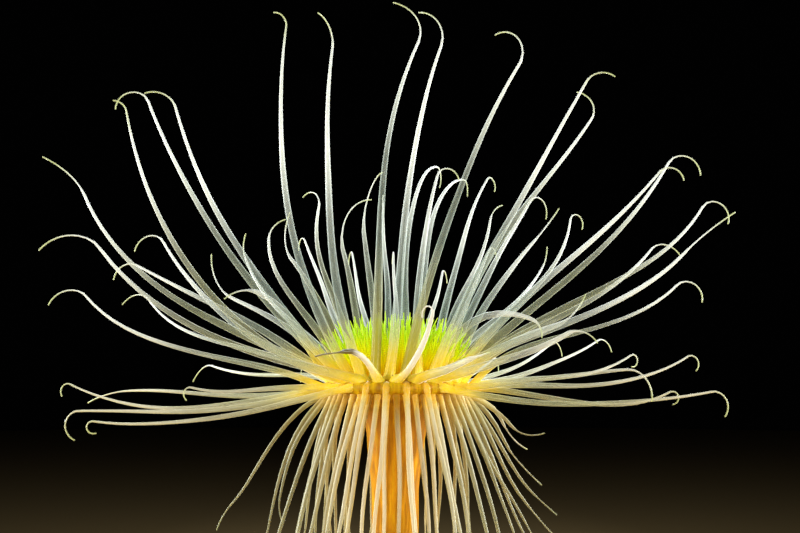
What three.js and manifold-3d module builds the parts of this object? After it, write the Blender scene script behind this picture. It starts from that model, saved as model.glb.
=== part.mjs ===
// A tube-dwelling sea anemone (a cerianthid) as a still, life-size model on a plain round base.
// A tapering column carries the oral disc. Short labial tentacles stand round the mouth, and four
// cycles of long marginal tentacles grow from the disc's margin: an inner cycle that rises, an upper
// and a middle one that spread, and a lower one that hangs.
// Millimetres, +Z up, origin at the centre of the base's underside. Azimuth 0 is +X, 90 is +Y.
import * as THREE from 'three';
import { mergeVertices } from 'three/addons/utils/BufferGeometryUtils.js';
import Module from 'manifold-3d';

const wasm = await Module();
wasm.setup();

// ---- driving dimensions ----
const GAP = 0.3; // between neighbouring pieces
const BASE = { radius: 75, height: 12, chamfer: 2, sides: 24 };
const COLUMN = { sides: 12, foot: 7, belly: 10.2, waist: 9.7, top: 14.8 };
const COLUMN_Z = { lowerEnd: 72, middleEnd: 134, top: 193 };
const RIM = { radius: 24, width: 9, height: 4, z: 202.5, bandDepth: 2.4, coreInset: 3.5, sides: 20 };
const DISC = { floorZ: 202.5, ringInner: 4.8, ringOuter: 14, ringHeight: 2.2 };
const MOUTH = { radius: 4.2, height: 3.5, sides: 8 };
const LABIAL = { perRow: 11, innerRadius: 8, outerRadius: 11.5, length: 34, rootRadius: 0.9, sink: 1 };
const TIP_RADIUS = 0.3;
const TAPER = 1.1; // power of the taper from root to tip
const BLUNT = { shorterThan: 80, taper: 0.7 }; // short tentacles that stand stay thick towards the tip
const WHIP_BEND = 0.8; // below 1, a tip turns more where it starts
const HANG_THIN = 0.25; // how much thinner a tentacle is that hangs
const WHIP_THIN = { least: 0.3, perMm: 1 / 60, most: 0.75 }; // how much thinner a whip is than the taper
const TUBE_SIDES = 5;
const SPLIT_LENGTH = 160; // inner tentacles longer than this are made in two lengths
const SPLIT_STATION = 2; // where they are parted, in arc steps from the root

// Each cycle: how many tentacles, where its roots lie on the rim's oval section (degrees up from
// outward), the root's radius, and how many steps its arcs and curls take. Each band of the rim: where
// it starts and ends on that section, and how many tentacles each of its pieces carries.
const CYCLES = {
  inner: { count: 24, first: 7.5, rimAngle: 88, root: 2.4, arcSteps: 4, curlSteps: 3 },
  upper: { count: 24, first: 0, rimAngle: 55, root: 2.3, arcSteps: 4, curlSteps: 2 },
  middle: { count: 24, first: 7.5, rimAngle: 0, root: 1.75, arcSteps: 4, curlSteps: 2 },
  lower: { count: 48, first: 0, rimAngle: -49, root: 1.75, arcSteps: 3, curlSteps: 1 },
};
const BANDS = {
  upper: { from: 35, to: 76, perGroup: 3 },
  middle: { from: -30, to: 31, perGroup: 3 },
  lower: { from: -66, to: -34, perGroup: 12 },
};

// A posed tentacle, in degrees and millimetres: the azimuth of its root, its heading, its elevation at
// the start, middle and end of its course, the course's length, and then how far its whip-like tip
// turns, outward and down where that is negative, over what length.
const POSED = {
  inner: [
    [7.5, 18, 67, 57, 45, 77, 10, 22],
    [22.5, 32, 73, 57, 57, 102, -175, 19],
    [37.5, 48, 85, 54, 75, 90, -60, 14],
    [52.5, 53, 65, 66, 46, 118, -165, 12],
    [67.5, 66, 84, 64, 5, 138, -130, 11],
    [82.5, 64, 78, 82, 8, 127, -165, 15],
    [97.5, 95, 58, 62, 66, 104, -60, 14],
    [112.5, 118, 85, 80, 68, 73, 120, 42],
    [127.5, 126, 84, 70, 67, 67, 120, 36],
    [142.5, 130, 84, 58, 108, 92, -145, 19],
    [157.5, 146, 75, 59, 43, 68, 85, 25],
    [172.5, 160, 75, 48, 92, 78, 80, 13],
    [187.5, 190, 42, 54, 69, 152, -160, 20],
    [202.5, 205, 41, 55, 73, 139, -100, 15],
    [217.5, 226, 48, 76, 99, 158, -115, 9],
    [232.5, 238, 56, 82, 100, 146, -105, 18],
    [247.5, 345, 86, 86, 64, 149, 105, 24],
    [262.5, 330, 80, 83, 66, 144, 105, 24],
    [277.5, 325, 74, 67, 52, 140, 140, 25],
    [292.5, 20, 94, 84, 74, 90, -150, 14],
    [307.5, 335, 66, 59, 58, 141, -100, 13],
    [322.5, 340, 89, 31, -27, 57, -70, 9],
    [337.5, 345, 89, 54, 56, 132, 110, 16],
    [352.5, 355, 43, 41, 60, 138, -150, 20],
  ],
  upper: [
    [0, 2, 50, 26, 59, 139, -170, 20],
    [15, 15, 45, 25, 51, 119, -115, 18],
    [30, 31, 57, 38, 80, 112, -200, 15],
    [45, 47, 52, 28, 51, 105, 30, 12],
    [135, 139, 40, 34, 62, 104, 60, 12],
    [150, 156, 52, 31, 24, 75, 70, 26],
    [165, 169, 23, 36, 60, 110, -140, 19],
    [180, 172, 40, 28, 27, 108, -105, 15],
    [195, 200, 48, 54, 22, 52, -65, 15],
    [210, 186, 28, 30, 67, 138, -45, 25],
    [225, 198, 12, 51, 79, 154, -80, 7],
    [240, 194, 14, 22, 55, 123, -105, 27],
    [255, 240, 40, 31, -4, 27, -5, 26],
    [270, 310, 17, 54, 61, 36, 230, 12],
    [285, 300, 12, 10, 12, 43, -5, 15],
    [300, 345, 13, 17, 30, 61, -90, 14],
    [315, 352, 38, 20, 47, 114, -15, 29],
    [330, 346, 58, 40, 50, 125, -135, 13],
    [345, 342, 48, 26, 21, 50, 45, 18],
  ],
  middle: [
    [7.5, 7, 7, 2, 33, 106, -170, 11],
    [22.5, 24, 12, 4, 30, 97, -230, 12],
    [37.5, 39, 6, 12, 26, 108, -100, 14],
    [127.5, 134, 16, 1, 13, 122, -75, 20],
    [142.5, 149, 33, 11, 46, 135, -95, 21],
    [157.5, 160, -12, 2, -2, 110, -20, 27],
    [172.5, 171, -12, -2, 25, 125, -150, 9],
    [187.5, 188, 28, 12, 51, 112, -120, 19],
    [202.5, 192, -19, -3, 0, 104, -155, 16],
    [217.5, 176, 5, -4, 13, 63, -160, 8],
    [232.5, 190, -12, -10, 9, 105, -210, 9],
    [307.5, 352, -12, -1, 12, 110, -140, 14],
    [322.5, 326, 3, 7, 2, 77, -100, 17],
    [337.5, 347, 2, -9, 29, 87, -200, 9],
    [352.5, 353, 55, 14, 47, 103, -150, 17],
  ],
  lower: [
    [0, 0, -43, -60, -45, 54, 5, 13],
    [7.5, 11, -10, -34, -50, 27, 70, 17],
    [15, 21, -15, -48, -58, 33, 20, 27],
    [22.5, 31, -15, -19, -67, 29, 50, 23],
    [180, 180, -13, -57, -47, 66, -25, 13],
    [187.5, 188, -35, -70, -79, 66, 5, 11],
    [195, 200, -44, -63, -82, 50, -30, 11],
    [330, 332, -63, -65, -71, 64, -10, 10],
    [337.5, 340, -70, -61, -59, 59, 0, 16],
    [345, 346, -60, -68, -64, 62, 10, 14],
    [352.5, 350, -47, -66, -51, 53, 5, 26],
  ],
};

const COLOURS = {
  base: 0x2c2d30,
  column: 0xd9812a,
  disc: 0xdba043,
  labial: 0xa6d83a,
  mouth: 0xc98a35,
  tentacle: 0xd9dccb,
};

const radians = THREE.MathUtils.degToRad;
const part = new THREE.Group();

// ---- solids ----
function addNode(name, geometry, colour, roughness = 0.45) {
  const material = new THREE.MeshStandardMaterial({ color: colour, roughness, metalness: 0 });
  const mesh = new THREE.Mesh(geometry, material);
  mesh.name = name;
  part.add(mesh);
}

function solidOf(geometry) {
  const bare = geometry.clone();
  bare.deleteAttribute('normal');
  bare.deleteAttribute('uv');
  const merged = mergeVertices(bare, 1e-4);
  const vertProperties = new Float32Array(merged.attributes.position.array);
  const triVerts = new Uint32Array(merged.index.array);
  return new wasm.Manifold(new wasm.Mesh({ numProp: 3, vertProperties, triVerts }));
}

function geometryOf(solid) {
  const mesh = solid.getMesh();
  const geometry = new THREE.BufferGeometry();
  geometry.setAttribute('position', new THREE.BufferAttribute(new Float32Array(mesh.vertProperties), 3));
  geometry.setIndex(new THREE.BufferAttribute(new Uint32Array(mesh.triVerts), 1));
  return geometry;
}

// A closed body put together from rings of points, named by their places in its list of points.
class Body {
  positions = [];
  index = [];

  ring(points) {
    const start = this.positions.length / 3;
    points.forEach((p) => this.positions.push(p.x, p.y, p.z));
    return points.map((_, i) => start + i);
  }

  // Joins two rings of one count, leaving out the side numbered `open`.
  join(first, second, open = -1) {
    first.forEach((a, i) => {
      const j = (i + 1) % first.length;
      if (i !== open) this.index.push(a, second[j], first[j], a, second[i], second[j]);
    });
  }

  cap(ring) {
    for (let i = 1; i < ring.length - 1; i += 1) this.index.push(ring[0], ring[i], ring[i + 1]);
  }

  // Runs a tube through the rings, from one that is already there, and closes its far end.
  tube(start, rings) {
    const last = rings.reduce((ring, points) => {
      const next = this.ring(points);
      this.join(ring, next);
      return next;
    }, start);
    this.cap(last.toReversed());
  }

  // Fills the face between an outline and a hole in it. Each is a list of [point, angle], angles rising.
  fillAround(outline, hole) {
    const angleAt = (loop, i) => loop[i % loop.length][1] + (i >= loop.length ? 2 * Math.PI : 0);
    const pointAt = (loop, i) => loop[i % loop.length][0];
    let i = 0;
    let j = 0;
    while (i < outline.length || j < hole.length) {
      const corner = pointAt(outline, i);
      const edge = pointAt(hole, j);
      if (j >= hole.length || (i < outline.length && angleAt(outline, i + 1) <= angleAt(hole, j + 1))) {
        i += 1;
        this.index.push(corner, pointAt(outline, i), edge);
      } else {
        j += 1;
        this.index.push(corner, pointAt(hole, j), edge);
      }
    }
  }

  geometry() {
    const geometry = new THREE.BufferGeometry();
    geometry.setAttribute('position', new THREE.Float32BufferAttribute(this.positions, 3));
    geometry.setIndex(this.index);
    return geometry;
  }
}

// Turns a list of [radius, height] pairs about the Z axis.
function turned(profile, sides) {
  const points = profile.map(([r, z]) => new THREE.Vector2(r, z));
  return new THREE.LatheGeometry(points, sides).rotateX(Math.PI / 2);
}

// ---- the disc's rim: an oval section swept round the axis ----
function rimPoint(angle, azimuth, inset = 0) {
  const a = radians(angle);
  const r = RIM.radius + (RIM.width - inset) * Math.cos(a);
  const z = RIM.z + (RIM.height - inset) * Math.sin(a);
  return new THREE.Vector3(r * Math.cos(radians(azimuth)), r * Math.sin(radians(azimuth)), z);
}

// The elevation, in radians, of the rim's outward normal.
function rimSlope(angle) {
  const a = radians(angle);
  return Math.atan2(Math.sin(a) / RIM.height, Math.cos(a) / RIM.width);
}

// ---- tentacles ----
// The stations of a tentacle: its centre, the elevation of its course there and its radius.
function stations(cycle, [azimuth, heading, start, middle, end, length, curl, whip]) {
  const side = new THREE.Vector3(-Math.sin(radians(heading)), Math.cos(radians(heading)), 0);
  const ahead = new THREE.Vector3(side.y, -side.x, 0);
  const courses = [];
  for (let i = 0; i < cycle.arcSteps; i += 1) {
    const t = (i + 0.5) / cycle.arcSteps;
    const elevation = start + (4 * middle - 3 * start - end) * t + 2 * (start - 2 * middle + end) * t * t;
    courses.push({ elevation: radians(elevation), step: length / cycle.arcSteps });
  }
  for (let i = 0; i < cycle.curlSteps; i += 1) {
    const turn = curl * ((i + 0.5) / cycle.curlSteps) ** WHIP_BEND;
    courses.push({ elevation: radians(end + turn), step: whip / cycle.curlSteps });
  }
  const thinner = Math.min(WHIP_THIN.most, WHIP_THIN.least + whip * WHIP_THIN.perMm);
  const slope = rimSlope(cycle.rimAngle);
  const centre = rimPoint(cycle.rimAngle, azimuth);
  const fall = Math.min(Math.max(-middle / 50, 0), 1);
  const root = cycle.root * (1 - HANG_THIN * fall);
  const taper = fall === 0 && length + whip < BLUNT.shorterThan ? BLUNT.taper : TAPER;
  const list = [{ centre: centre.clone(), elevation: slope, radius: root, side, ahead }];
  let travelled = 0;
  courses.forEach(({ elevation, step }, i) => {
    const next = courses[i + 1] ?? courses[i];
    travelled += step;
    centre.addScaledVector(ahead, step * Math.cos(elevation));
    centre.z += step * Math.sin(elevation);
    const left = Math.max(0, 1 - travelled / (length + whip));
    const full = TIP_RADIUS + (root - TIP_RADIUS) * left ** taper;
    const radius = i < cycle.arcSteps ? full : Math.max(TIP_RADIUS, full * (1 - thinner));
    list.push({ centre: centre.clone(), elevation: (elevation + next.elevation) / 2, radius, side, ahead });
  });
  return list;
}

// A ring of points round a station, square to its course.
function ringAt({ centre, elevation, radius, side, ahead }, sides) {
  const across = ahead.clone().multiplyScalar(-Math.sin(elevation));
  across.z = Math.cos(elevation);
  const ring = [];
  for (let i = 0; i < sides; i += 1) {
    const a = (2 * Math.PI * i) / sides;
    const point = centre.clone().addScaledVector(side, -radius * Math.cos(a));
    ring.push(point.addScaledVector(across, radius * Math.sin(a)));
  }
  return ring;
}

// A tube through a list of stations, closed at both ends.
function tube(list, sides = TUBE_SIDES) {
  const body = new Body();
  const [first, ...others] = list.map((station) => ringAt(station, sides));
  const start = body.ring(first);
  body.cap(start);
  body.tube(start, others);
  return body.geometry();
}

// Moves a station along its own course.
function shifted(station, distance) {
  const centre = station.centre.clone().addScaledVector(station.ahead, distance * Math.cos(station.elevation));
  centre.z += distance * Math.sin(station.elevation);
  return { ...station, centre };
}

// Every tentacle of a cycle in order of azimuth: those with a pose of their own, and the rest by rule.
function cycleRows(name, rule) {
  const { count, first } = CYCLES[name];
  const rows = [];
  for (let i = 0; i < count; i += 1) {
    const azimuth = first + (360 * i) / count;
    rows.push(POSED[name].find((row) => row[0] === azimuth) ?? rule(azimuth, i));
  }
  return rows;
}

const sway = (i, size) => size * Math.sin(2.4 * i);

function upperRule(azimuth, i) {
  const rise = 46 + sway(i, 4);
  return [azimuth, azimuth + sway(i, 2), rise - 6, rise, rise + 6, 95 + sway(2 * i, 12), -145, 13];
}

function middleRule(azimuth, i) {
  if (azimuth > 180) {
    const fall = -64 + sway(i, 3);
    return [azimuth, azimuth + sway(3 * i, 4), fall, fall, fall - 16, 103 + sway(2 * i, 6), -12, 13];
  }
  const rise = 9 + sway(i, 4);
  return [azimuth, azimuth + sway(i, 1.5), rise - 9, rise, rise + 9, 113 + sway(2 * i, 6), -110, 14];
}

function lowerRule(azimuth, i) {
  if (azimuth < 180) {
    const fall = -84 + sway(i, 8);
    const length = 68 + sway(2 * i, 9);
    return [azimuth, azimuth + sway(3 * i, 12), fall + 12, fall, fall - 6, length, sway(i, 30), 16];
  }
  const fall = -74 + sway(i, 3);
  return [azimuth, azimuth + sway(3 * i, 5), fall + 10, fall, fall - 10, 99 + sway(2 * i, 8), -6, 13];
}

const ROWS = {
  inner: cycleRows('inner'),
  upper: cycleRows('upper', upperRule),
  middle: cycleRows('middle', middleRule),
  lower: cycleRows('lower', lowerRule),
};

// ---- base and column ----
function makeBase() {
  const { radius, height, chamfer, sides } = BASE;
  const profile = [
    [0, 0],
    [radius - chamfer, 0],
    [radius, chamfer],
    [radius, height - chamfer],
    [radius - chamfer, height],
    [0, height],
  ];
  addNode('stand_base', turned(profile, sides), COLOURS.base, 0.6);
}

function makeColumn() {
  const { sides, foot, belly, waist, top } = COLUMN;
  const { lowerEnd, middleEnd, top: topZ } = COLUMN_Z;
  const floor = BASE.height + GAP;
  const lower = [
    [0, floor],
    [foot, floor],
    [belly, floor + 12],
    [belly, floor + 30],
    [waist, lowerEnd],
    [0, lowerEnd],
  ];
  const middle = [
    [0, lowerEnd + GAP],
    [waist, lowerEnd + GAP],
    [waist, middleEnd],
    [0, middleEnd],
  ];
  const upper = [
    [0, middleEnd + GAP],
    [waist, middleEnd + GAP],
    [waist + 0.5, 156],
    [waist + 2.3, 174],
    [top, topZ],
    [0, topZ],
  ];
  addNode('column_lower', turned(lower, sides), COLOURS.column);
  addNode('column_middle', turned(middle, sides), COLOURS.column);
  addNode('column_upper', turned(upper, sides), COLOURS.column);
}

// ---- the oral disc, its mouth and the labial tentacles ----
// The disc's core: full section where the inner cycle stands, set back under the three outer bands.
function makeDisc() {
  const underside = COLUMN_Z.top + GAP;
  const section = (angle, inset) => {
    const p = rimPoint(angle, 0, inset);
    return [p.x, p.z];
  };
  const profile = [
    [0, underside],
    [COLUMN.top, underside],
    [RIM.radius - 4, underside + 3.5],
    section(-58, RIM.coreInset),
    section(10, RIM.coreInset),
    section(81, RIM.coreInset),
    section(81, 0),
    section(110, 0),
    [DISC.ringOuter + GAP, DISC.floorZ],
    [0, DISC.floorZ],
  ];
  addNode('oral_disc', turned(profile, RIM.sides), COLOURS.disc);
}

function makeMouth() {
  const floor = DISC.floorZ + GAP;
  const profile = [
    [0, floor],
    [MOUTH.radius, floor],
    [MOUTH.radius * 0.7, floor + MOUTH.height],
    [0, floor + MOUTH.height - 2],
  ];
  addNode('mouth', turned(profile, MOUTH.sides), COLOURS.mouth);
}

// A labial tentacle is a three-sided spike. It leans out most towards the two sides of the disc.
function labialSpike(azimuth, radius, lean) {
  const floor = DISC.floorZ + GAP + DISC.ringHeight - LABIAL.sink;
  const out = new THREE.Vector3(Math.cos(radians(azimuth)), Math.sin(radians(azimuth)), 0);
  const side = new THREE.Vector3(-out.y, out.x, 0);
  const foot = out.clone().multiplyScalar(radius).setZ(floor);
  const tilt = radians(lean);
  const list = [0, 0.5, 1].map((along) => {
    const elevation = tilt - 0.15 + 0.3 * along;
    const centre = foot.clone().addScaledVector(out, LABIAL.length * along * Math.cos(elevation));
    centre.z += LABIAL.length * along * Math.sin(elevation);
    const thickness = LABIAL.rootRadius * (1 - 0.6 * along);
    return { centre, elevation, radius: thickness, side, ahead: out };
  });
  return tube(list, 3);
}

function makeLabialTentacles() {
  const floor = DISC.floorZ + GAP;
  const ring = turned([
    [DISC.ringInner, floor],
    [DISC.ringOuter, floor],
    [DISC.ringOuter - 1.5, floor + DISC.ringHeight],
    [DISC.ringInner + 1.5, floor + DISC.ringHeight],
    [DISC.ringInner, floor],
  ], 18);
  let solid = solidOf(ring);
  for (let i = 0; i < LABIAL.perRow; i += 1) {
    const azimuth = (360 * i) / LABIAL.perRow;
    const sideways = Math.cos(radians(azimuth)) ** 2;
    const outerLean = 76 - 26 * sideways;
    const innerLean = 84 - 16 * sideways;
    solid = solid.add(solidOf(labialSpike(azimuth, LABIAL.outerRadius, outerLean)));
    solid = solid.add(solidOf(labialSpike(azimuth + 180 / LABIAL.perRow, LABIAL.innerRadius, innerLean)));
  }
  addNode('labial_tentacles', geometryOf(solid), COLOURS.labial);
}

// ---- the four cycles of marginal tentacles ----
// Inner tentacles stand on the disc, each a node, and the longest are made in two lengths.
function makeInnerTentacles() {
  ROWS.inner.forEach((row, i) => {
    const name = `inner_tentacle_${String(i + 1).padStart(2, '0')}`;
    const list = stations(CYCLES.inner, row);
    list[0].centre.z = RIM.z + RIM.height + GAP;
    const [, , , , , length, , whip] = row;
    if (length + whip > SPLIT_LENGTH) {
      const parting = list[SPLIT_STATION];
      addNode(`${name}_root`, tube([...list.slice(0, SPLIT_STATION), parting]), COLOURS.tentacle);
      addNode(`${name}_tip`, tube([shifted(parting, GAP), ...list.slice(SPLIT_STATION + 1)]), COLOURS.tentacle);
    } else {
      addNode(name, tube(list), COLOURS.tentacle);
    }
  });
}

// The outer cycles grow from blocks of the disc's margin, a few tentacles to each block. The block's
// outer face is a row of panels, and each tentacle's root opens out of the middle of one panel.
function marginBlock(name, rows, from, pitch) {
  const body = new Body();
  const { from: low, to: high } = BANDS[name];
  const corners = (azimuth) => [
    rimPoint(low, azimuth),
    rimPoint(high, azimuth),
    rimPoint(high, azimuth, RIM.bandDepth),
    rimPoint(low, azimuth, RIM.bandDepth),
  ];
  let points = corners(from);
  let ring = body.ring(points);
  body.cap(ring);
  rows.forEach((row, i) => {
    const nextPoints = corners(from + (i + 1) * pitch);
    const next = body.ring(nextPoints);
    body.join(ring, next, 0);
    addRootedTentacle(body, stations(CYCLES[name], row), [ring[0], next[0], next[1], ring[1]], [
      points[0], nextPoints[0], nextPoints[1], points[1]]);
    ring = next;
    points = nextPoints;
  });
  body.cap(ring.toReversed());
  return body.geometry();
}

// Opens a tentacle out of the middle of a panel, given by its corners' places in the body and their points.
function addRootedTentacle(body, list, panel, panelPoints) {
  const middle = new THREE.Vector3();
  panelPoints.forEach((p) => middle.addScaledVector(p, 1 / panelPoints.length));
  list[0].centre.copy(middle);
  const rootPoints = ringAt(list[0], TUBE_SIDES);
  const root = body.ring(rootPoints);
  const right = panelPoints[1].clone().sub(panelPoints[0]);
  const up = panelPoints[3].clone().sub(panelPoints[0]);
  const withAngles = (places, points) => points.map((p, i) => {
    const offset = p.clone().sub(middle);
    const angle = Math.atan2(offset.dot(up) / up.lengthSq(), offset.dot(right) / right.lengthSq());
    return [places[i], angle];
  }).sort((a, b) => a[1] - b[1]);
  body.fillAround(withAngles(panel, panelPoints), withAngles(root, rootPoints));
  body.tube(root, list.slice(1).map((station) => ringAt(station, TUBE_SIDES)));
}

function makeMargin(name) {
  const { count } = CYCLES[name];
  const { perGroup } = BANDS[name];
  const clear = THREE.MathUtils.radToDeg(GAP / RIM.radius);
  const pitch = 360 / count;
  const panelPitch = pitch - clear / perGroup;
  for (let g = 0; g < count / perGroup; g += 1) {
    const rows = ROWS[name].slice(g * perGroup, (g + 1) * perGroup);
    const from = rows[0][0] - pitch / 2 + clear / 2;
    addNode(`margin_${name}_${g + 1}`, marginBlock(name, rows, from, panelPitch), COLOURS.tentacle);
  }
}

makeBase();
makeColumn();
makeDisc();
makeMouth();
makeLabialTentacles();
makeInnerTentacles();
makeMargin('upper');
makeMargin('middle');
makeMargin('lower');

export default part;
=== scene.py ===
"""A tube-dwelling sea anemone (a cerianthid): a still, life-size model on a plain round base.

One skin covers the column, the oral disc, the mouth, the labial tentacles and the four cycles of
marginal tentacles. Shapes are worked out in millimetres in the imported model's frame and scaled to
metres as they become meshes. Azimuth 0 is +X and 90 is +Y.
"""

import math
from collections import namedtuple
from types import SimpleNamespace

import bpy
import numpy as np
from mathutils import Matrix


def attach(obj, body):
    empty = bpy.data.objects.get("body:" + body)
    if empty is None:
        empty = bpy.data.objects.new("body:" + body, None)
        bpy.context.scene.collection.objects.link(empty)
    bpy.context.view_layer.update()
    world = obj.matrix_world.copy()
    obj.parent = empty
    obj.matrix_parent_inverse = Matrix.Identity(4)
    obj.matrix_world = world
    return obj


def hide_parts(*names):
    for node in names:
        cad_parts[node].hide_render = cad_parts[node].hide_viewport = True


MM = 0.001
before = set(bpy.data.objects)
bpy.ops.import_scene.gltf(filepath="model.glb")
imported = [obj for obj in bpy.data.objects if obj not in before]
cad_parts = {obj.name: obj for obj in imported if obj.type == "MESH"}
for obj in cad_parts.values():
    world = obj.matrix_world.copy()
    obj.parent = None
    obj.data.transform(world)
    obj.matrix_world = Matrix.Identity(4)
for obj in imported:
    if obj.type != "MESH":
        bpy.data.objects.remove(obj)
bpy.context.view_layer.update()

# ---- driving dimensions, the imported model's own, in millimetres and degrees ----
BASE = dict(radius=75, height=12, edge=2)
RIM = dict(radius=24, width=9, height=4, z=202.5)
DISC_FLOOR = 202.5
TIP_RADIUS = 0.3
TAPER = 1.1  # the power by which a tentacle thins towards its tip
BLUNT = dict(shorter_than=80, taper=0.7)  # a short tentacle that doesn't hang stays thick for longer
WHIP_BEND = 0.8  # the power by which a whip turns along its length
HANG_THIN = 0.25  # how much thinner a tentacle is that hangs
WHIP_THIN = dict(least=0.3, per_mm=1 / 60, most=0.75)  # how much thinner a whip is than the taper gives

# How many tentacles a cycle has, the azimuth of its first, where its roots lie on the rim's oval
# section (degrees up from outward) and their radius.
CYCLES = {
    "inner": dict(count=24, first=7.5, rim_angle=88, root=2.4),
    "upper": dict(count=24, first=0, rim_angle=55, root=2.3),
    "middle": dict(count=24, first=7.5, rim_angle=0, root=1.75),
    "lower": dict(count=48, first=0, rim_angle=-49, root=1.75),
}

# A tentacle: the azimuth of its root, its heading, its elevation at the start, middle and end of its
# course, the course's length, and then how far its whip-like tip turns, outward and down where that is
# negative, over what length.
Tentacle = namedtuple("Tentacle", "azimuth heading start middle end length curl whip")

# The tentacles that have a pose of their own.
POSED = {
    "inner": [
        (7.5, 18, 67, 57, 45, 77, 10, 22),
        (22.5, 32, 73, 57, 57, 102, -175, 19),
        (37.5, 48, 85, 54, 75, 90, -60, 14),
        (52.5, 53, 65, 66, 46, 118, -165, 12),
        (67.5, 66, 84, 64, 5, 138, -130, 11),
        (82.5, 64, 78, 82, 8, 127, -165, 15),
        (97.5, 95, 58, 62, 66, 104, -60, 14),
        (112.5, 118, 85, 80, 68, 73, 120, 42),
        (127.5, 126, 84, 70, 67, 67, 120, 36),
        (142.5, 130, 84, 58, 108, 92, -145, 19),
        (157.5, 146, 75, 59, 43, 68, 85, 25),
        (172.5, 160, 75, 48, 92, 78, 80, 13),
        (187.5, 190, 42, 54, 69, 152, -160, 20),
        (202.5, 205, 41, 55, 73, 139, -100, 15),
        (217.5, 226, 48, 76, 99, 158, -115, 9),
        (232.5, 238, 56, 82, 100, 146, -105, 18),
        (247.5, 345, 86, 86, 64, 149, 105, 24),
        (262.5, 330, 80, 83, 66, 144, 105, 24),
        (277.5, 325, 74, 67, 52, 140, 140, 25),
        (292.5, 20, 94, 84, 74, 90, -150, 14),
        (307.5, 335, 66, 59, 58, 141, -100, 13),
        (322.5, 340, 89, 31, -27, 57, -70, 9),
        (337.5, 345, 89, 54, 56, 132, 110, 16),
        (352.5, 355, 43, 41, 60, 138, -150, 20),
    ],
    "upper": [
        (0, 2, 50, 26, 59, 139, -170, 20),
        (15, 15, 45, 25, 51, 119, -115, 18),
        (30, 31, 57, 38, 80, 112, -200, 15),
        (45, 47, 52, 28, 51, 105, 30, 12),
        (135, 139, 40, 34, 62, 104, 60, 12),
        (150, 156, 52, 31, 24, 75, 70, 26),
        (165, 169, 23, 36, 60, 110, -140, 19),
        (180, 172, 40, 28, 27, 108, -105, 15),
        (195, 200, 48, 54, 22, 52, -65, 15),
        (210, 186, 28, 30, 67, 138, -45, 25),
        (225, 198, 12, 51, 79, 154, -80, 7),
        (240, 194, 14, 22, 55, 123, -105, 27),
        (255, 240, 40, 31, -4, 27, -5, 26),
        (270, 310, 17, 54, 61, 36, 230, 12),
        (285, 300, 12, 10, 12, 43, -5, 15),
        (300, 345, 13, 17, 30, 61, -90, 14),
        (315, 352, 38, 20, 47, 114, -15, 29),
        (330, 346, 58, 40, 50, 125, -135, 13),
        (345, 342, 48, 26, 21, 50, 45, 18),
    ],
    "middle": [
        (7.5, 7, 7, 2, 33, 106, -170, 11),
        (22.5, 24, 12, 4, 30, 97, -230, 12),
        (37.5, 39, 6, 12, 26, 108, -100, 14),
        (127.5, 134, 16, 1, 13, 122, -75, 20),
        (142.5, 149, 33, 11, 46, 135, -95, 21),
        (157.5, 160, -12, 2, -2, 110, -20, 27),
        (172.5, 171, -12, -2, 25, 125, -150, 9),
        (187.5, 188, 28, 12, 51, 112, -120, 19),
        (202.5, 192, -19, -3, 0, 104, -155, 16),
        (217.5, 176, 5, -4, 13, 63, -160, 8),
        (232.5, 190, -12, -10, 9, 105, -210, 9),
        (307.5, 352, -12, -1, 12, 110, -140, 14),
        (322.5, 326, 3, 7, 2, 77, -100, 17),
        (337.5, 347, 2, -9, 29, 87, -200, 9),
        (352.5, 353, 55, 14, 47, 103, -150, 17),
    ],
    "lower": [
        (0, 0, -43, -60, -45, 54, 5, 13),
        (7.5, 11, -10, -34, -50, 27, 70, 17),
        (15, 21, -15, -48, -58, 33, 20, 27),
        (22.5, 31, -15, -19, -67, 29, 50, 23),
        (180, 180, -13, -57, -47, 66, -25, 13),
        (187.5, 188, -35, -70, -79, 66, 5, 11),
        (195, 200, -44, -63, -82, 50, -30, 11),
        (330, 332, -63, -65, -71, 64, -10, 10),
        (337.5, 340, -70, -61, -59, 59, 0, 16),
        (345, 346, -60, -68, -64, 62, 10, 14),
        (352.5, 350, -47, -66, -51, 53, 5, 26),
    ],
}

# ---- dimensions that only the skin has, in millimetres and degrees ----
# Tubes of the marginal tentacles
TUBE_SIDES = 10
COURSE_POINTS = 600
ROOT_DEPTH = 3.0  # how far a tentacle's tube reaches into the rim
ROOT_STATIONS = (-ROOT_DEPTH, -1.6, -0.8, 0, 0.7, 1.5, 2.5, 3.8, 5.4, 7.4, 9.8, 12.8, 16.5)
TIP_STATIONS = (24, 20.5, 17.5, 15, 12.8, 10.8, 9, 7.4, 6, 4.8, 3.7, 2.8, 2, 1.3, 0.7, 0.25)  # from the tip
STATION_STEP = 5.2
CAP = 0.08  # how far from the tip the last ring but one is
CAP_RADII = (0.8, 0.35)  # the last two rings, as shares of the tip's radius
ROOT_NECK = 0.1  # how much narrower a tube is just above the rim
NECK_LENGTH = 14.0
ROOT_FLARE = 0.3  # how much it widens again where it meets the rim
FLARE_LENGTH = 2.2
RIPPLE = dict(size=0.03, length=7.1, starts=6)  # how a tube swells and narrows along its length
SWAY = dict(size=0.8, waves=1.3, shift=0.37)  # how a tentacle strays sideways from its course
HEAVE = dict(share=0.6, waves=1.1, shift=0.61)  # and up and down, as a share of that
SWERVE = dict(size=22, shift=1.7)  # how a whip turns sideways
HANGS_AT = 50  # degrees below level, in the middle of its course, at which a tentacle hangs in full
SLIM = dict(size=0.28, within=8)  # how much thinner the two short pale tentacles in front are

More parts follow.
